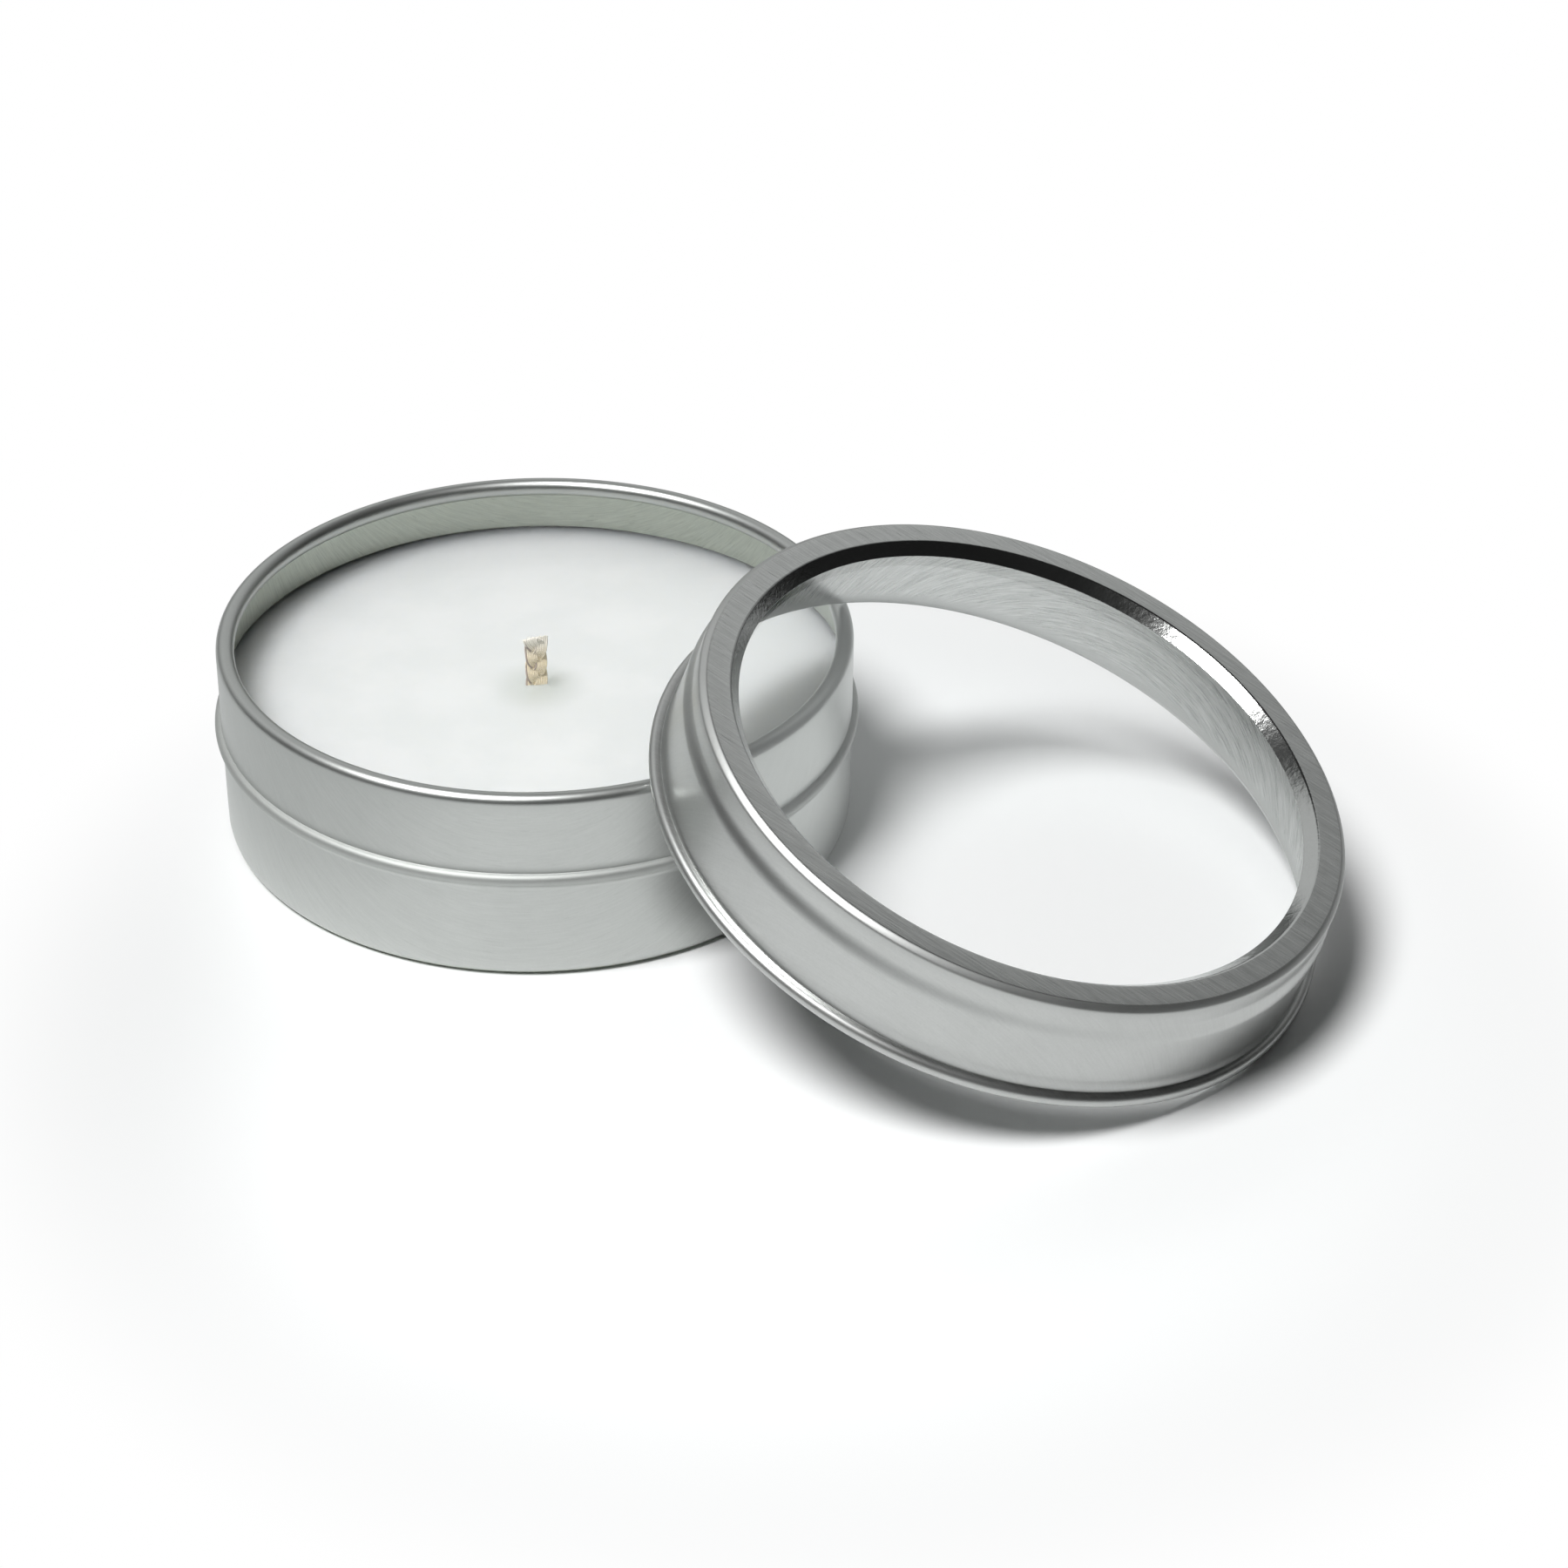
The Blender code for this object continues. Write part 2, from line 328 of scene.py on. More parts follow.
# %% [markdown]
# ## Tinplate
#
# Tin and lid are pressed from rolled sheet steel with a thin coat of tin. The rollers leave
# straight hair-fine streaks in one direction of the sheet. Pressing carries them along: on
# the flange they stay straight, and on a wall they turn as one goes round. A pattern stretched
# on the wall itself would miss that, so the streaks are drawn on the flat blank, through the
# UV map that `turned` made. Where the sheet is bent hardest, the grain is rubbed off, the
# gloss changes and a fine orange peel shows. Each piece says where through the named values
# "dullness", "grain" and "peel" on its points. The tin also names its "wall", because the
# inside of it is lacquered faintly green.

# %% Mix the tinplate
def tinplate(name, grain, dark, pale, lacquer=None):
    """Rolled tinplate. grain is the streaks' angle on the blank in degrees, dark and pale are
    the colours it wanders between, and lacquer tints the inside of the tin's wall."""
    recipe = Recipe(name)
    blank = recipe.add("ShaderNodeUVMap", {"uv_map": "blank"})
    space = recipe.space()
    dullness, kept_grain, peeled = (recipe.mark(key) for key in ("dullness", "grain", "peel"))

    hair = recipe.noise(recipe.mapped(blank, (260, 5000, 1), grain), 1.0, 3.0, 0.6)
    streak = recipe.noise(recipe.mapped(blank, (90, 1300, 1), grain), 1.0, 4.0, 0.65)
    scuff = recipe.noise(recipe.mapped(blank, (330, 3900, 1), grain + 9.0, (3, 1, 0)), 1.0, 1.0)
    fine = recipe.noise(space, 3800.0, 2.0, 0.6)
    cloud = recipe.noise(space, 130.0, 3.0, 0.55)
    peel = recipe.noise(space, 1300.0, 3.0, 0.65)

    lines = kept_grain * (0.65 * hair.between(0.32, 0.68) + 0.35 * streak.between(0.32, 0.68)
                          - 0.5)
    scratch = scuff.between(0.66, 0.76) * kept_grain
    tone = (0.5 + 0.80 * lines + 0.35 * (cloud - 0.5) + 0.25 * (fine - 0.5)
            - 0.45 * scratch).kept()
    dull = dullness + 0.07 * lines + 0.06 * (cloud - 0.5) + 0.10 * scratch
    colour = recipe.colour(tone, dark, pale)
    if lacquer is not None:
        flat = recipe.add("ShaderNodeVectorMath", {"operation": "MULTIPLY"},
                          {0: space, 1: (1, 1, 0)})
        out = recipe.add("ShaderNodeVectorMath", {"operation": "LENGTH"}, {0: flat}, output=1)
        within = 1.0 - out.between(TIN_RADIUS - 0.20 * MM, TIN_RADIUS - 0.08 * MM)
        tinted = recipe.add("ShaderNodeMix", {"data_type": "RGBA", "blend_type": "MULTIPLY"},
                            {0: 1.0, 6: colour, 7: (*lacquer, 1.0)}, output=2)
        colour = recipe.colour(within * recipe.mark("wall"), colour, tinted)
    relief = recipe.bump(lines, 0.000010, 0.45)
    relief = recipe.bump(peel * peeled, 0.00005, 0.6, relief)
    recipe.surface(Base_Color=colour, Metallic=1.0, Roughness=dull, Normal=relief)
    return recipe.block


def blend(where, low, high):
    """0 below low, 1 above high, straight in between. low may be the larger one."""
    return np.clip((where - low) / (high - low), 0.0, 1.0)


TIN_RADIUS = 33.0 * MM
tin_metal = tinplate("tin tinplate", 62.0, (0.43, 0.445, 0.433), (0.575, 0.59, 0.575),
                     lacquer=(1.05, 1.085, 1.00))
lid_metal = tinplate("lid tinplate", 8.0, (0.40, 0.41, 0.402), (0.62, 0.63, 0.62))

# %% [markdown]
# ## The tin
#
# One seamless cup. Its wall is straight, the rim is curled inwards so that no cut edge can be
# touched, and half way up a bead stands out of the wall, which is where a pushed-on lid stops.
# The bead has a sharp crease above and runs out softly below, so it is drawn as an arc that
# starts on the wall at the top and as a fillet underneath.

# %% The tin's section
SHEET = 0.25 * MM
BASE_CORNER = 1.0 * MM
RIM_CURL, RIM_Z = 0.95 * MM, 20.05 * MM
BEAD, BEAD_Z = 0.68 * MM, 11.55 * MM
rim_at = TIN_RADIUS - RIM_CURL

fillet_low = BEAD_Z - BEAD - 0.65 * MM
u = np.linspace(0.0, 1.0, 12)
fillet = np.stack([TIN_RADIUS + 0.42 * MM * u ** 2.2, fillet_low + 0.94 * MM * u], 1)
outer = joined((0.0, 0.0), arc(TIN_RADIUS - BASE_CORNER, BASE_CORNER, BASE_CORNER, -90, 0),
               fillet, arc(TIN_RADIUS, BEAD_Z, BEAD, -40, 84, 18),
               (TIN_RADIUS, BEAD_Z + BEAD + 0.03 * MM),
               arc(rim_at, RIM_Z, RIM_CURL, 0, 300, 40))
groove = BEAD - SHEET
lead = math.degrees(math.acos(-SHEET / groove))
inner = joined(arc(rim_at, RIM_Z, RIM_CURL - SHEET, 300, 0, 30),
               arc(TIN_RADIUS, BEAD_Z, groove, lead, -lead, 14),
               arc(TIN_RADIUS - BASE_CORNER, BASE_CORNER, BASE_CORNER - SHEET, 0, -90, 8),
               (0.0, SHEET))
outer, inner = stepped(outer, 0.9 * MM), stepped(inner, 0.9 * MM)
tin_section = np.vstack([outer, inner])
tin_flat = np.r_[walked(outer), walked(inner[::-1])[::-1]]
print("the blank for the tin is", round(2 * tin_flat.max() / MM, 1), "mm across")

# %% Turn the tin
out, height = tin_section.T
is_outside = np.arange(len(out)) < len(outer)
near_rim = blend(height, 19.2 * MM, 19.7 * MM)
near_bead = blend(np.abs(height - BEAD_Z), 1.0 * MM, 0.7 * MM) * is_outside
tin_body = turned("tin_body_pressed", tin_section, tin_flat, 320,
                  {"dullness": 0.36 + 0.03 * near_rim + 0.28 * near_bead
                               + 0.10 * (1.0 - is_outside) * (1.0 - near_rim),
                   "grain": (1.0 - near_rim) * (1.0 - near_bead) * np.where(is_outside, 0.4, 1),
                   "peel": 0.15 * np.maximum(near_rim, near_bead),
                   "wall": 1.0 - near_rim}, shake=0.022 * MM)
finish_with(tin_body, tin_metal)
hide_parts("tin_body")
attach(tin_body, "tin")

# %% [markdown]
# ## The wax
#
# Poured wax is level but never quite flat: it climbs the wall by a few tenths of a millimetre,
# it makes a small collar round the wick, and it sinks very slightly between the two. All three
# are heights added to a turned disc. Its underside is never seen and is left flat, with no
# hollow for the tab and no slot for the wick. Light enters wax and comes out again nearby, so
# the material is wholly subsurface, under a soft sheen.

# %% Shape the wax
WAX_TOP = 14.3 * MM
WAX_RADIUS = TIN_RADIUS - SHEET - 0.02 * MM
WICK_AT = (0.0, -1.3 * MM)  # 0.5 mm further forward than the CAD wick stands
WICK_TURN = 15.0            # degrees, the flat face turned from facing the camera

low_corner = (WAX_RADIUS, 1.2 * MM)
wax_side = joined((0.0, 0.55 * MM), (WAX_RADIUS - 0.8 * MM, 0.55 * MM), low_corner,
                  (WAX_RADIUS, WAX_TOP - 0.05 * MM))
rings = np.r_[np.linspace(WAX_RADIUS - 0.02 * MM, WAX_RADIUS - 2.4 * MM, 18),
              np.linspace(WAX_RADIUS - 2.8 * MM, 5.0 * MM, 40),
              np.linspace(4.7 * MM, 0.15 * MM, 32), 0.0]
wax_side = stepped(wax_side, 1.5 * MM)
wax_section = np.vstack([wax_side, np.stack([rings, np.full_like(rings, WAX_TOP)], 1)])


def wax_height(x, y, row):
    """Extra height of the wax: climb at the wall + collar at the wick + slow sink and ripple.

    climb = 0.42 mm e^(-gap / 0.7 mm), collar = 0.3 mm e^(-distance from the wick / 0.55 mm),
    and the sink is a ring-shaped hollow of 0.12 mm. Rows below the top surface stay put.
    """
    r = np.hypot(x, y)
    turn = math.radians(WICK_TURN)
    along = (x - WICK_AT[0]) * math.cos(turn) + (y - WICK_AT[1]) * math.sin(turn)
    across = (y - WICK_AT[1]) * math.cos(turn) - (x - WICK_AT[0]) * math.sin(turn)
    away = np.hypot(np.maximum(np.abs(along) - 1.15 * MM, 0.0),
                    np.maximum(np.abs(across) - 0.45 * MM, 0.0))
    climb = 0.42 * MM * np.exp(-(WAX_RADIUS - r) / (0.7 * MM))
    collar = 0.30 * MM * np.exp(-away / (0.55 * MM))
    sink = -0.12 * MM * np.sin(np.pi * np.clip(r / WAX_RADIUS, 0, 1)) ** 2
    ripple = 0.025 * MM * (np.cos(210 * x + 90 * y) + np.cos(160 * y - 260 * x + 1.3))
    lifted = climb + collar + sink + ripple
    return np.where(row >= len(wax_side), lifted, np.where(row == len(wax_side) - 1, climb, 0.0))


wax = turned("wax_poured", wax_section, walked(wax_section), 256, lift=wax_height)

# %% Mix the wax
recipe = Recipe("white wax")
space = recipe.space()
bloom = recipe.noise(space, 95.0, 4.0, 0.55)
frost = recipe.noise(space, 900.0, 3.0, 0.6)
pits = recipe.add("ShaderNodeTexVoronoi", {"feature": "F1"}, {"Vector": space, "Scale": 420.0})
off_wick = recipe.distance(space, (*WICK_AT, WAX_TOP))
# Painted shade: the wax colour darkens within a few millimetres of the wick, standing for the
# shade the wax collar casts round the wick's foot.
painted_wick_shade = 1.0 - off_wick.between(1.4 * MM, 6.0 * MM)
pale = recipe.colour(bloom.between(0.35, 0.68), (0.735, 0.755, 0.745), (0.775, 0.79, 0.78))
pale = recipe.colour(0.8 * painted_wick_shade, pale, (0.60, 0.63, 0.60))
pit = 1.0 - pits.between(0.03, 0.10)
relief = recipe.bump(bloom, 0.00006, 0.5)
relief = recipe.bump(frost * 0.6 - 1.4 * pit, 0.000012, 0.6, relief)
recipe.surface(Base_Color=pale, Roughness=0.40 + 0.16 * (frost - 0.5) + 0.06 * bloom,
               Normal=relief, IOR=1.44, Specular_IOR_Level=0.5, Subsurface_Weight=1.0,
               Subsurface_Radius=(1.0, 0.97, 0.92), Subsurface_Scale=0.016)
finish_with(wax, recipe.block)
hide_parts("wax_fill")
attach(wax, "tin")

# %% [markdown]
# ## The wick
#
# A flat wick is a plait: three strands, each a flat bundle of yarns, that cross over each
# other from side to side and leave a row of Vs on the face. The path of a strand in a plait is
# known: sideways it follows a sine, front to back a sine twice as fast, and it climbs evenly.
# Seven thin yarns run side by side along each strand, which gives the ribs.

# %% Paths of the yarns
WICK_LOW, WICK_TOP = 1.9 * MM, 20.25 * MM
PLAIT_LENGTH = 6.0 * MM     # one strand is back on its side after this much height
STRANDS, YARNS = 3, 7
YARN_RADIUS = 0.105 * MM
heights = np.linspace(WICK_LOW, WICK_TOP, 190)


def yarn_path(strand, yarn):
    """(n, 3) points of one yarn, before the wick is turned and put in its place.

    With p = 2 pi (height / plait length + strand / 3), the strand's middle is at
    (0.52 mm tanh(1.5 sin p) / tanh 1.5, -0.17 mm sin 2p, height): the tanh lets it dwell at
    the edges, which keeps the edges straight. A yarn lies beside it, square to the strand's
    slope, and the bundle spreads near the cut end.
    """
    p = 2.0 * np.pi * (heights / PLAIT_LENGTH + strand / STRANDS)
    side = 0.52 * MM * np.tanh(1.5 * np.sin(p)) / math.tanh(1.5)
    slope = np.gradient(side, heights)
    beside = (yarn - (YARNS - 1) / 2.0) * 0.180 * MM
    steep = np.hypot(1.0, slope)
    spread = 1.0 + 0.24 * np.clip((heights - WICK_TOP + 1.8 * MM) / (1.8 * MM), 0, 1) ** 1.6
    x = (side + beside / steep) * spread
    y = -0.17 * MM * np.sin(2.0 * p)
    z = heights - beside * slope / steep
    short = 0.06 * MM * math.sin(5.3 * strand + 2.9 * yarn)
    return np.stack([x, y, np.minimum(z, WICK_TOP + short)], 1)


# %% Carry a ring along each path
def tube(path, radius, sides=8):
    """(points, faces, uv) of a round tube along a path, closed by a fan at each end.

    Point (i, k) = path_i + radius (cos t A + sin t B), with t = 2 pi k / sides, where A and B
    are square to the path: B is the tangent crossed with X, and A is B crossed with the tangent.
    """
    tangent = np.gradient(path, axis=0)
    tangent /= np.linalg.norm(tangent, axis=1)[:, None]
    b = np.cross(tangent, np.array([1.0, 0.0, 0.0]))
    b /= np.linalg.norm(b, axis=1)[:, None]
    a = np.cross(b, tangent)
    t = np.linspace(0, 2 * np.pi, sides, endpoint=False)[None, :, None]
    r = np.broadcast_to(np.asarray(radius, float), (len(path),))[:, None, None]
    ring = path[:, None] + r * (np.cos(t) * a[:, None] + np.sin(t) * b[:, None])
    n = len(path)
    i, k = np.arange(n - 1)[:, None], np.arange(sides)[None, :]
    on = (k + 1) % sides
    quads = np.stack([i * sides + k, (i + 1) * sides + k, (i + 1) * sides + on,
                      i * sides + on], -1)
    low, high, last = n * sides, n * sides + 1, (n - 1) * sides
    fans = [[low, int(a0), int(b0)] for a0, b0 in zip(k[0], on[0])]
    fans += [[high, last + int(b0), last + int(a0)] for a0, b0 in zip(k[0], on[0])]
    points = np.vstack([ring.reshape(-1, 3), path[:1], path[-1:]])
    along = walked(path[:, [0, 2]])
    uv = np.stack([np.tile(np.arange(sides) / sides, n), np.repeat(along, sides)], 1)
    uv = np.vstack([uv, [[0.5, along[0]], [0.5, along[-1]]]])
    return points, quads.reshape(-1, 4).tolist() + fans, uv


def gathered(parts):
    """Several (points, faces, uv) as one."""
    points, faces, uv, count = [], [], [], 0
    for p, f, w in parts:
        faces += [[v + count for v in face] for face in f]
        points.append(p)
        uv.append(w)
        count += len(p)
    return np.vstack(points), faces, np.vstack(uv)


# %% Plait the wick
# The lowest yarn of each strand is marked for a painted shade, the shade that falls between the
# strands where they cross.
yarns = [tube(yarn_path(s, k), YARN_RADIUS) for s in range(STRANDS) for k in range(YARNS)]
crossing_shade_yarn = [float(k == 0) for s in range(STRANDS) for k in range(YARNS)]

# A few loose fibres stand off the braid, half of them at the cut end.
FIBRES, FIBRE_TOP = 70, 20.38 * MM
dice = np.random.default_rng(11)
fibres = []
for number in range(FIBRES):
    at_top = number % 2 == 0
    z0 = WICK_TOP - 0.12 * MM if at_top else dice.uniform(14.6, 20.0) * MM
    start = np.array([dice.uniform(-1.0, 1.0) * MM, dice.uniform(-0.32, 0.32) * MM, z0])
    aim = np.array([dice.normal(), dice.normal(), 0.5 + 1.2 * at_top])
    aim /= np.linalg.norm(aim)
    sag = dice.normal(size=3) * 0.10 * MM
    s = np.linspace(0.0, 1.0, 7)[:, None]
    run = start + aim * s * dice.uniform(0.22, 0.5) * MM + sag * s * s
    run[:, 2] = np.minimum(run[:, 2], FIBRE_TOP)
    fibres.append(tube(run, np.linspace(0.013, 0.007, 7) * MM, 4))

place_wick = (Matrix.Translation((*WICK_AT, 0.0))
              @ Matrix.Rotation(math.radians(WICK_TURN), 4, "Z"))
points, faces, uv = gathered(yarns + fibres)
crossing_shade_yarn = np.repeat(crossing_shade_yarn + [0.0] * len(fibres), [len(p) for p, f, w in yarns + fibres])
wick = made("wick_plait", points, faces, uv, {"dark": crossing_shade_yarn}, place_wick)

# %% Mix the cotton
# Each yarn is twisted, so a slanting rib is drawn on its own map: once round for a fixed
# length. Wax has crept up the wick, which makes its foot darker and the cut end paler.
TWISTS = 2400.0             # turns of the yarn in a metre
recipe = Recipe("cotton yarn")
round_yarn, along_yarn, _ = recipe.split(recipe.add("ShaderNodeUVMap", {"uv_map": "blank"}))
space = recipe.space()
_, _, up = recipe.split(space)
twist = (2.0 * math.pi * (round_yarn + along_yarn * TWISTS)).sine()
fluff = recipe.noise(space, 5200.0, 3.0, 0.6)
crossing_shade_breakup = recipe.noise(recipe.mapped(space, (1400, 1400, 700)), 1.0, 2.0)
dry = up.between(17.6 * MM, 20.2 * MM)
cotton = recipe.colour(dry, (0.95, 0.83, 0.61), (0.99, 0.96, 0.88))
cotton = recipe.colour(fluff.between(0.35, 0.7) * 0.4, cotton, (0.99, 0.94, 0.84))
# Painted shade: the marked yarn darkens in broken patches, standing for the shade between
# crossing strands.
crossing_shade = recipe.mark("dark") * crossing_shade_breakup.between(0.40, 0.54)
cotton = recipe.colour(0.8 * crossing_shade, cotton, (0.40, 0.32, 0.30))
relief = recipe.bump(twist * 0.5 + fluff, 0.00001, 0.6)
recipe.surface(Base_Color=cotton, Roughness=0.93, Normal=relief, Specular_IOR_Level=0.2,
               Sheen_Weight=0.15, Sheen_Roughness=0.5)
finish_with(wick, recipe.block)
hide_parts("wick")
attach(wick, "tin")

# %% [markdown]
# ## What holds the wick
#
# Under the wax, a small tinned tab grips the wick's foot and a drop of glue holds the tab to
# the floor of the tin. Nothing of them shows, so the CAD solids stay, with real finishes.

# %% Finish the tab and its glue
recipe = Recipe("tab steel")
space = recipe.space()
rub = recipe.noise(recipe.mapped(space, (400, 6000, 400)), 1.0, 3.0)
recipe.surface(Base_Color=recipe.colour(rub, (0.52, 0.53, 0.54), (0.68, 0.69, 0.70)),
               Metallic=1.0, Roughness=0.24 + 0.14 * rub, Normal=recipe.bump(rub, 0.00001, 0.5))
tab_steel = recipe.block

recipe = Recipe("set glue")
space = recipe.space()
curd = recipe.noise(space, 700.0, 3.0)
recipe.surface(Base_Color=recipe.colour(curd, (0.74, 0.70, 0.60), (0.86, 0.84, 0.77)),
               Roughness=0.32 + 0.18 * curd, Normal=recipe.bump(curd, 0.00004, 0.6))
set_glue = recipe.block

for node, material in (("wick_sustainer", tab_steel), ("wick_adhesive", set_glue)):
    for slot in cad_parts[node].material_slots:
        slot.material = material
    print(node, "keeps its CAD solid")

# %% [markdown]
# ## The lid
#
# The lid is pressed from one disc too, with its middle cut out. From the window outwards the
# section is: a lip turned down, a flat flange, a bevelled corner, a narrow band, a soft step out
# to the skirt, and an outward curl at the foot of the skirt. It leans: one point of the curl
# is on the ground and the other side lies on the tin's rim. So it is drawn flat, with z = 0 on
# the face of the flange, and one matrix leans it.

# %% The lid's section
LID_HEIGHT = 12.15 * MM
WINDOW = 29.3 * MM
LIP_ROUND, LIP_DEPTH = 0.45 * MM, 1.1 * MM
LIP_LEAN = 46.0             # degrees the lip's face leans back from upright
FLANGE = 33.5 * MM
# the corner turns quickly, runs on as a slightly curved bevel, and turns quickly again
CORNER = ((0.50 * MM, 90, 57), (2.3 * MM, 57, 45), (0.45 * MM, 45, 0))
STEP_TOP, STEP_BOTTOM = 2.3 * MM, 4.4 * MM
SKIRT = 33.95 * MM
CURL, CURL_AT = 0.72 * MM, 34.48 * MM
curl_z = CURL - LID_HEIGHT

corner = chained((0.0, 0.0), *CORNER)
corner_at = FLANGE - corner[-1, 0]
lean_sin, lean_cos = math.sin(math.radians(LIP_LEAN)), math.cos(math.radians(LIP_LEAN))
face_top = -LIP_ROUND * (1.0 - lean_sin)
lip_at = WINDOW + (face_top + LIP_DEPTH) * lean_sin / lean_cos + LIP_ROUND * lean_cos
tube_arc = arc(CURL_AT, curl_z, CURL, 114, -180, 48)
u = np.linspace(0.0, 1.0, 14)
flare_top = -9.5 * MM
flare = np.stack([SKIRT + (tube_arc[0, 0] - SKIRT) * u ** 2.4,
                  flare_top + (tube_arc[0, 1] - flare_top) * u], 1)
face = joined((WINDOW, -LIP_DEPTH), arc(lip_at, -LIP_ROUND, LIP_ROUND, 180 - LIP_LEAN, 90, 8),
              corner + (corner_at, 0.0),
              ease(FLANGE, SKIRT, -STEP_TOP, -STEP_BOTTOM, 16), flare, tube_arc)
back = joined((CURL_AT - CURL, curl_z), (SKIRT - SHEET, curl_z + 0.4 * MM),
              ease(SKIRT - SHEET, FLANGE - SHEET, -STEP_BOTTOM, -STEP_TOP),
              arc(FLANGE - 0.8 * MM, -0.8 * MM, 0.8 * MM - SHEET, 0, 90, 10),
              (lip_at, -SHEET),
              (WINDOW + SHEET * lean_cos, -LIP_DEPTH - SHEET * lean_sin))
face, back = stepped(face, 0.9 * MM), stepped(back, 0.9 * MM)
lid_section = np.vstack([face, back])
reach = walked(face)
lid_flat = WINDOW - LIP_DEPTH + np.r_[reach, (walked(back[::-1])[::-1]) * reach[-1]
                                      / walked(back)[-1]]
print("the blank for the lid is", round(2 * lid_flat.max() / MM, 1), "mm across")

# %% Lean the lid
LEAN_AZIMUTH, LEAN_TILT = -28.05, 19.74
FOOT = Vector((75.05 * MM, -39.96 * MM, 0.65 * MM))     # where FOOT_POINT of the section goes
FOOT_POINT = (34.55 * MM, 0.0, -11.5 * MM)
lean = (Matrix.Translation(FOOT)
        @ Matrix.Rotation(math.radians(LEAN_AZIMUTH), 4, "Z")
        @ Matrix.Rotation(math.radians(LEAN_TILT), 4, "Y")
        @ Matrix.Translation(-Vector(FOOT_POINT)))
out, depth = lid_section[:, 0], -lid_section[:, 1]
is_face = np.arange(len(out)) < len(face)
on_lip = blend(out, lip_at + 0.10 * MM, lip_at - 0.20 * MM)
on_corner = blend(out, corner_at, corner_at + 0.2 * MM) * blend(depth, 1.4 * MM, 0.8 * MM)
on_curl = blend(depth, LID_HEIGHT - 1.7 * MM, LID_HEIGHT - 1.2 * MM)
on_skirt = blend(depth, 0.8 * MM, 1.4 * MM) * (1.0 - on_curl) * (out > corner_at)
plain = (1.0 - on_lip) * (1.0 - on_curl)
lid_shell = turned("lid_pressed", lid_section, lid_flat, 340,
                   {"dullness": 0.24 - 0.08 * on_lip + 0.18 * on_curl + 0.24 * on_corner
                    + np.where(is_face, 0.09, 0.05) * on_skirt,
                    "grain": plain * (1.0 - on_corner) * np.where(
                        on_skirt > 0.5, np.where(is_face, 0.2, 1.6), 1.0),
                    "peel": np.maximum(on_lip, 0.15 * np.maximum(on_corner, on_curl))}, lean,
                   shake=0.018 * MM)
finish_with(lid_shell, lid_metal)
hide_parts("lid_shell")
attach(lid_shell, "lid")

# %% [markdown]
# ## The window
#
# A disc of clear sheet lies behind the lip. Thin flat sheet doesn't visibly bend what is
# behind it: it lets light straight through and mirrors a little of its surroundings, more at a
# glancing angle. So it is a mix of Transparent and a glossy surface. The factor is a fifth of
# Fresnel, which keeps the sheet nearly unseen, and it casts no shadow.

# %% Make the pane
PANE, PANE_TOP, PANE_THICK = 32.75 * MM, -1.42 * MM, 0.28 * MM
pane_section = stepped(joined((0.0, PANE_TOP - PANE_THICK), (PANE, PANE_TOP - PANE_THICK),
                              (PANE, PANE_TOP), (0.0, PANE_TOP)), 1.2 * MM)


def pane_sag(x, y, row):
    """The sheet is not quite flat: it sags 0.1 mm in the middle and waves by 0.02 mm."""
    r = np.clip(np.hypot(x, y) / PANE, 0, 1)
    return (-0.10 * MM * (1.0 - r * r) + 0.02 * MM * np.sin(190 * x + 1.0) * (1.0 - r)) + 0 * row


pane = turned("window_sheet", pane_section, walked(pane_section), 160, place=lean, lift=pane_sag)
recipe = Recipe("clear sheet")
space = recipe.space()
haze = recipe.noise(space, 260.0, 3.0)
gloss = recipe.add("ShaderNodeBsdfPrincipled", {},
                   {"Base Color": (0.93, 0.95, 0.95, 1.0), "Roughness": 0.04 + 0.04 * haze,
                    "Metallic": 1.0})
clear = recipe.add("ShaderNodeBsdfTransparent", {}, {"Color": (0.996, 0.998, 0.998, 1.0)})
glance = recipe.add("ShaderNodeFresnel", {}, {"IOR": 1.45})
recipe.add("ShaderNodeOutputMaterial", {},
           {"Surface": recipe.add("ShaderNodeMixShader", {},
                                  {0: (glance * 0.2).kept(), 1: clear, 2: gloss})})
pane.visible_shadow = False
finish_with(pane, recipe.block)
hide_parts("window_pane")
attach(pane, "lid")

# %% [markdown]
# ## Floor and light
#
# Bright metal has no look of its own: it shows the room. The room here is a white floor, a
# large soft lamp high in front on the left, a pale wall behind, and darkness towards the front
# and the sides. The pale parts give the walls their light grey, and the dark parts draw the
# thin dark lines along the rim, the bead and the lip.
#
# A product picture has a floor that is plain white, save for the shadows. So for the camera
# only, the floor turns to even white away from the object and in the middle of the window.

# %% Lay the floor
FLOOR_HALF, FLOOR_DROP = 4.0, 0.02 * MM
ALL_ROUND = (30 * MM, -35 * MM, 0.0)    # the middle of the shadows
IN_WINDOW = (56 * MM, -22 * MM, 0.0)    # the floor seen through the middle of the window
floor = made("floor", np.array([[x * FLOOR_HALF, y * FLOOR_HALF, -FLOOR_DROP]
                                for x, y in ((-1, -1), (1, -1), (1, 1), (-1, 1))]),
             [[0, 1, 2, 3]])
recipe = Recipe("white floor")
space = recipe.space()
away = recipe.distance(space, ALL_ROUND)
inside = 1.0 - recipe.distance(space, IN_WINDOW).between(8 * MM, 28 * MM)
seen = recipe.add("ShaderNodeLightPath", output=0)
fade = (away.between(50 * MM, 90 * MM) + 0.85 * inside).kept() * seen
east, _, _ = recipe.split(space)
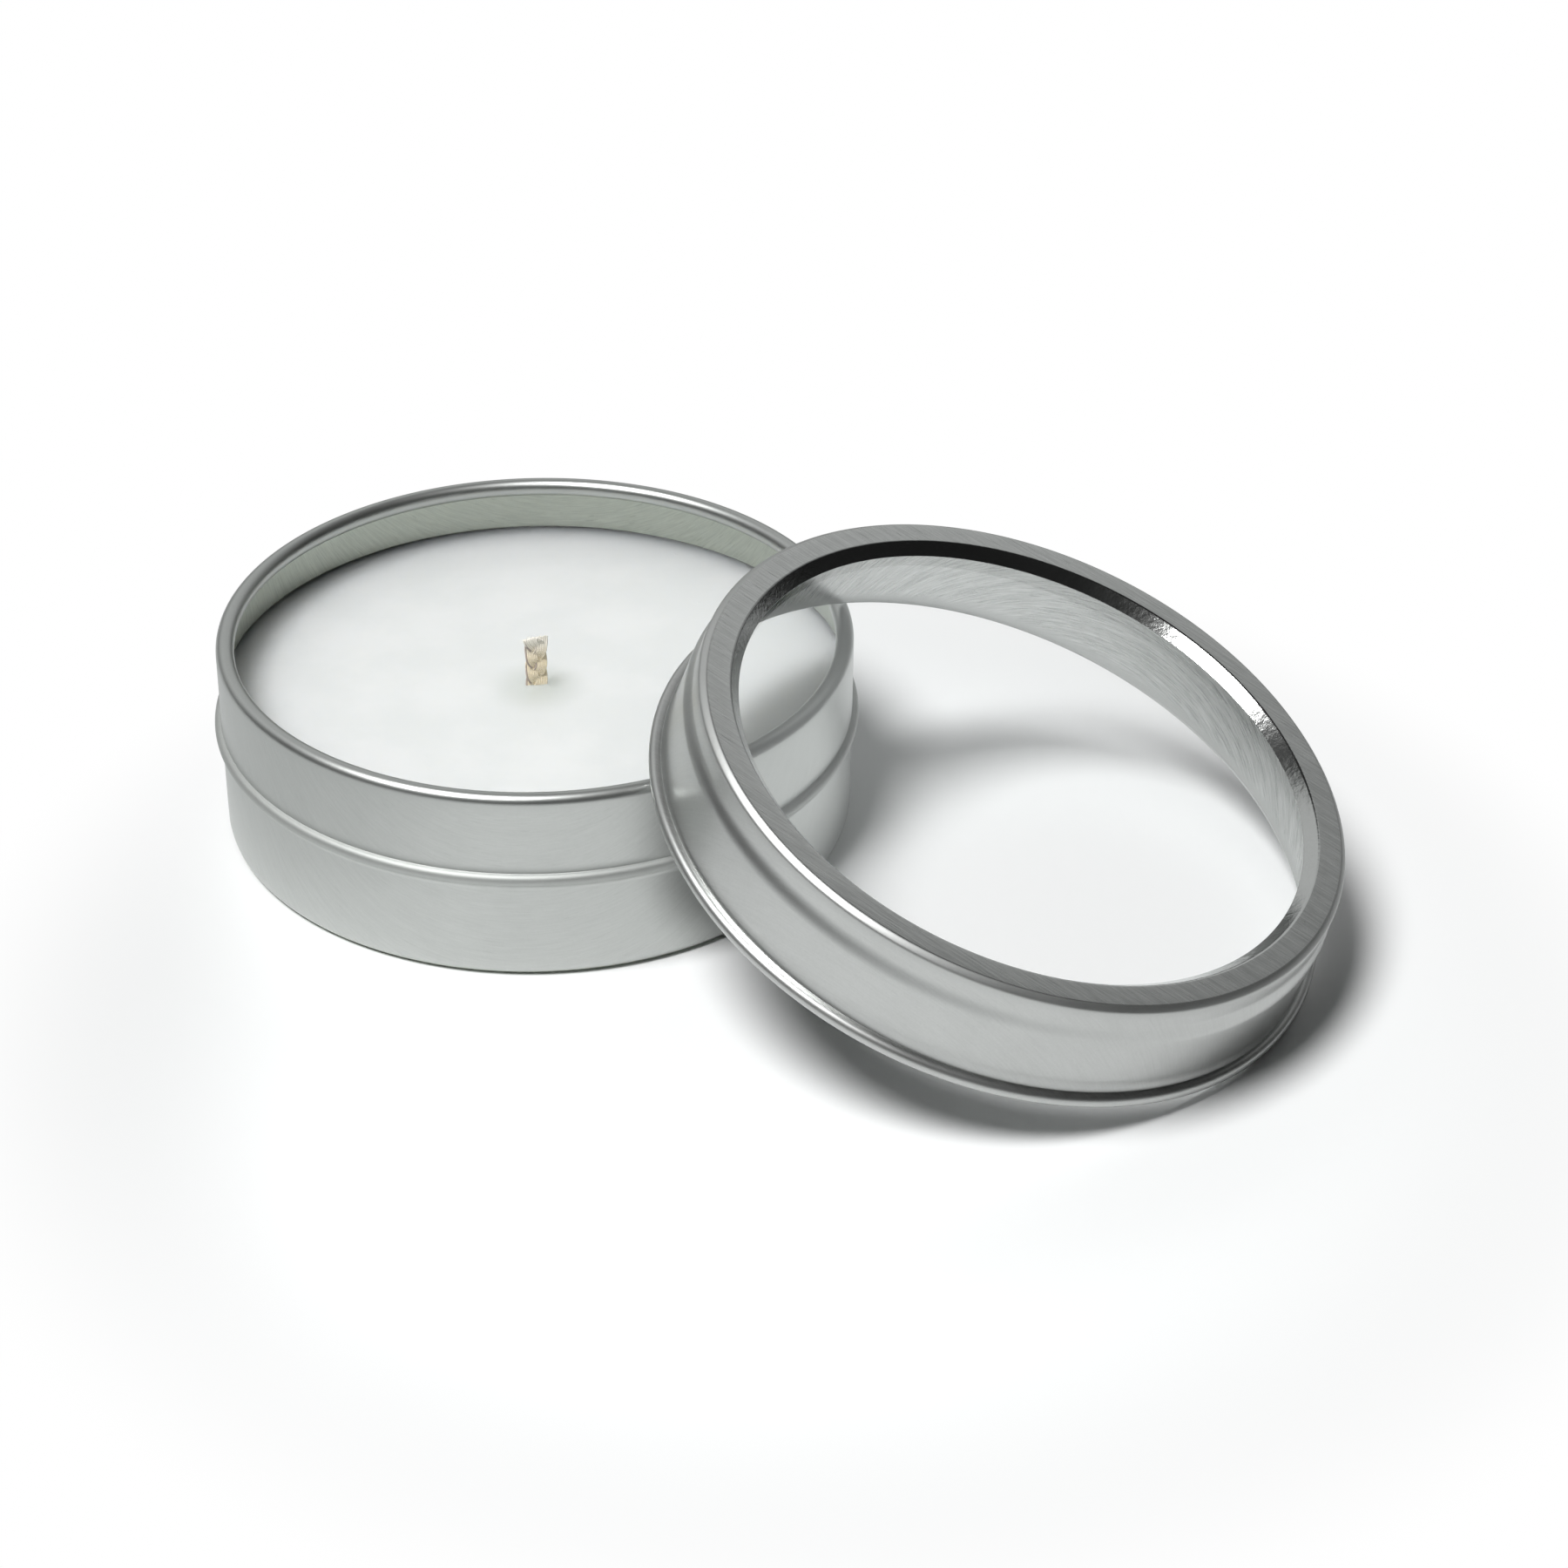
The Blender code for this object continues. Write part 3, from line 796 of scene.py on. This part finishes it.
# The paper's colour holds painted light: it is lighter near the object and darker towards -X and
# far off, standing for light that falls off across the floor.
painted_light_falloff = recipe.colour(east.between(-60 * MM, -10 * MM), (0.60, 0.61, 0.61), (0.91, 0.92, 0.92))
painted_light_falloff = recipe.colour(away.between(50 * MM, 100 * MM), painted_light_falloff, (0.62, 0.63, 0.63))
paper = recipe.add("ShaderNodeBsdfPrincipled", {},
                   {"Base Color": painted_light_falloff, "Roughness": 0.9, "Specular IOR Level": 0.1})
white = recipe.add("ShaderNodeEmission", {}, {"Color": (1.0, 1.0, 1.0, 1.0), "Strength": 1.0})
recipe.add("ShaderNodeOutputMaterial", {},
           {"Surface": recipe.add("ShaderNodeMixShader", {}, {0: fade, 1: paper, 2: white})})
finish_with(floor, recipe.block)


# %% Hang the lamp
def direction(azimuth, elevation):
    """A unit vector. Azimuth is counted from +X towards +Y, both in degrees."""
    a, e = math.radians(azimuth), math.radians(elevation)
    return Vector((math.cos(a) * math.cos(e), math.sin(a) * math.cos(e), math.sin(e)))


LAMP_WAY = direction(219.0, 65.0)
LAMP_FAR, LAMP_SIZE, LAMP_POWER = 1.1, 0.47, 13.4       # metres, metres, watts
lamp = bpy.data.objects.new("soft lamp", bpy.data.lights.new("soft lamp", "AREA"))
lamp.data.shape = "DISK"
lamp.data.size = LAMP_SIZE
lamp.data.energy = LAMP_POWER
lamp.location = LAMP_WAY * LAMP_FAR + Vector((0.03, -0.01, 0.0))
lamp.rotation_mode = "QUATERNION"
lamp.rotation_quaternion = LAMP_WAY.to_track_quat("Z", "Y")
scene.collection.objects.link(lamp)
print("lamp covers", round(math.degrees(math.atan(LAMP_SIZE / 2 / LAMP_FAR))), "degrees")

# %% Paint the room
# The room is painted by direction: `around` is the azimuth in degrees, and `up` is 0 at the
# horizon and 1 overhead. A bright wall stands behind, with a dimmer one round it. The camera
# itself sees plain white.
recipe = Recipe("room", world=True)
east, north, up = recipe.split(recipe.add("ShaderNodeTexCoord", output=0))
around = north.maths("ARCTAN2", north, east) * (180.0 / math.pi)
below_ceiling = 1.0 - up.between(0.70, 0.82)
wall = (around.between(52.0, 60.0) * (1.0 - around.between(135.0, 170.0))
        * up.between(0.15, 0.35) * below_ceiling)
beside = (around.between(15.0, 45.0) * (1.0 - around.between(150.0, 175.0)) * (1.0 - wall)
          * up.between(-0.05, 0.30) * below_ceiling)
DARK, BRIGHT, DIM = 0.015, 0.68, 0.33
glow = DARK + BRIGHT * wall + DIM * beside
seen = recipe.add("ShaderNodeLightPath", output=0)
lit = recipe.add("ShaderNodeBackground", {},
                 {"Color": (0.985, 1.0, 0.995, 1.0), "Strength": glow})
plain = recipe.add("ShaderNodeBackground", {},
                   {"Color": (1.0, 1.0, 1.0, 1.0), "Strength": 1.0})
recipe.add("ShaderNodeOutputWorld", {},
           {"Surface": recipe.add("ShaderNodeMixShader", {}, {0: seen, 1: lit, 2: plain})})
scene.world = recipe.block
scene.view_settings.view_transform = "Standard"
print("the bright wall is", round(BRIGHT / DARK), "times as bright as the dark parts")
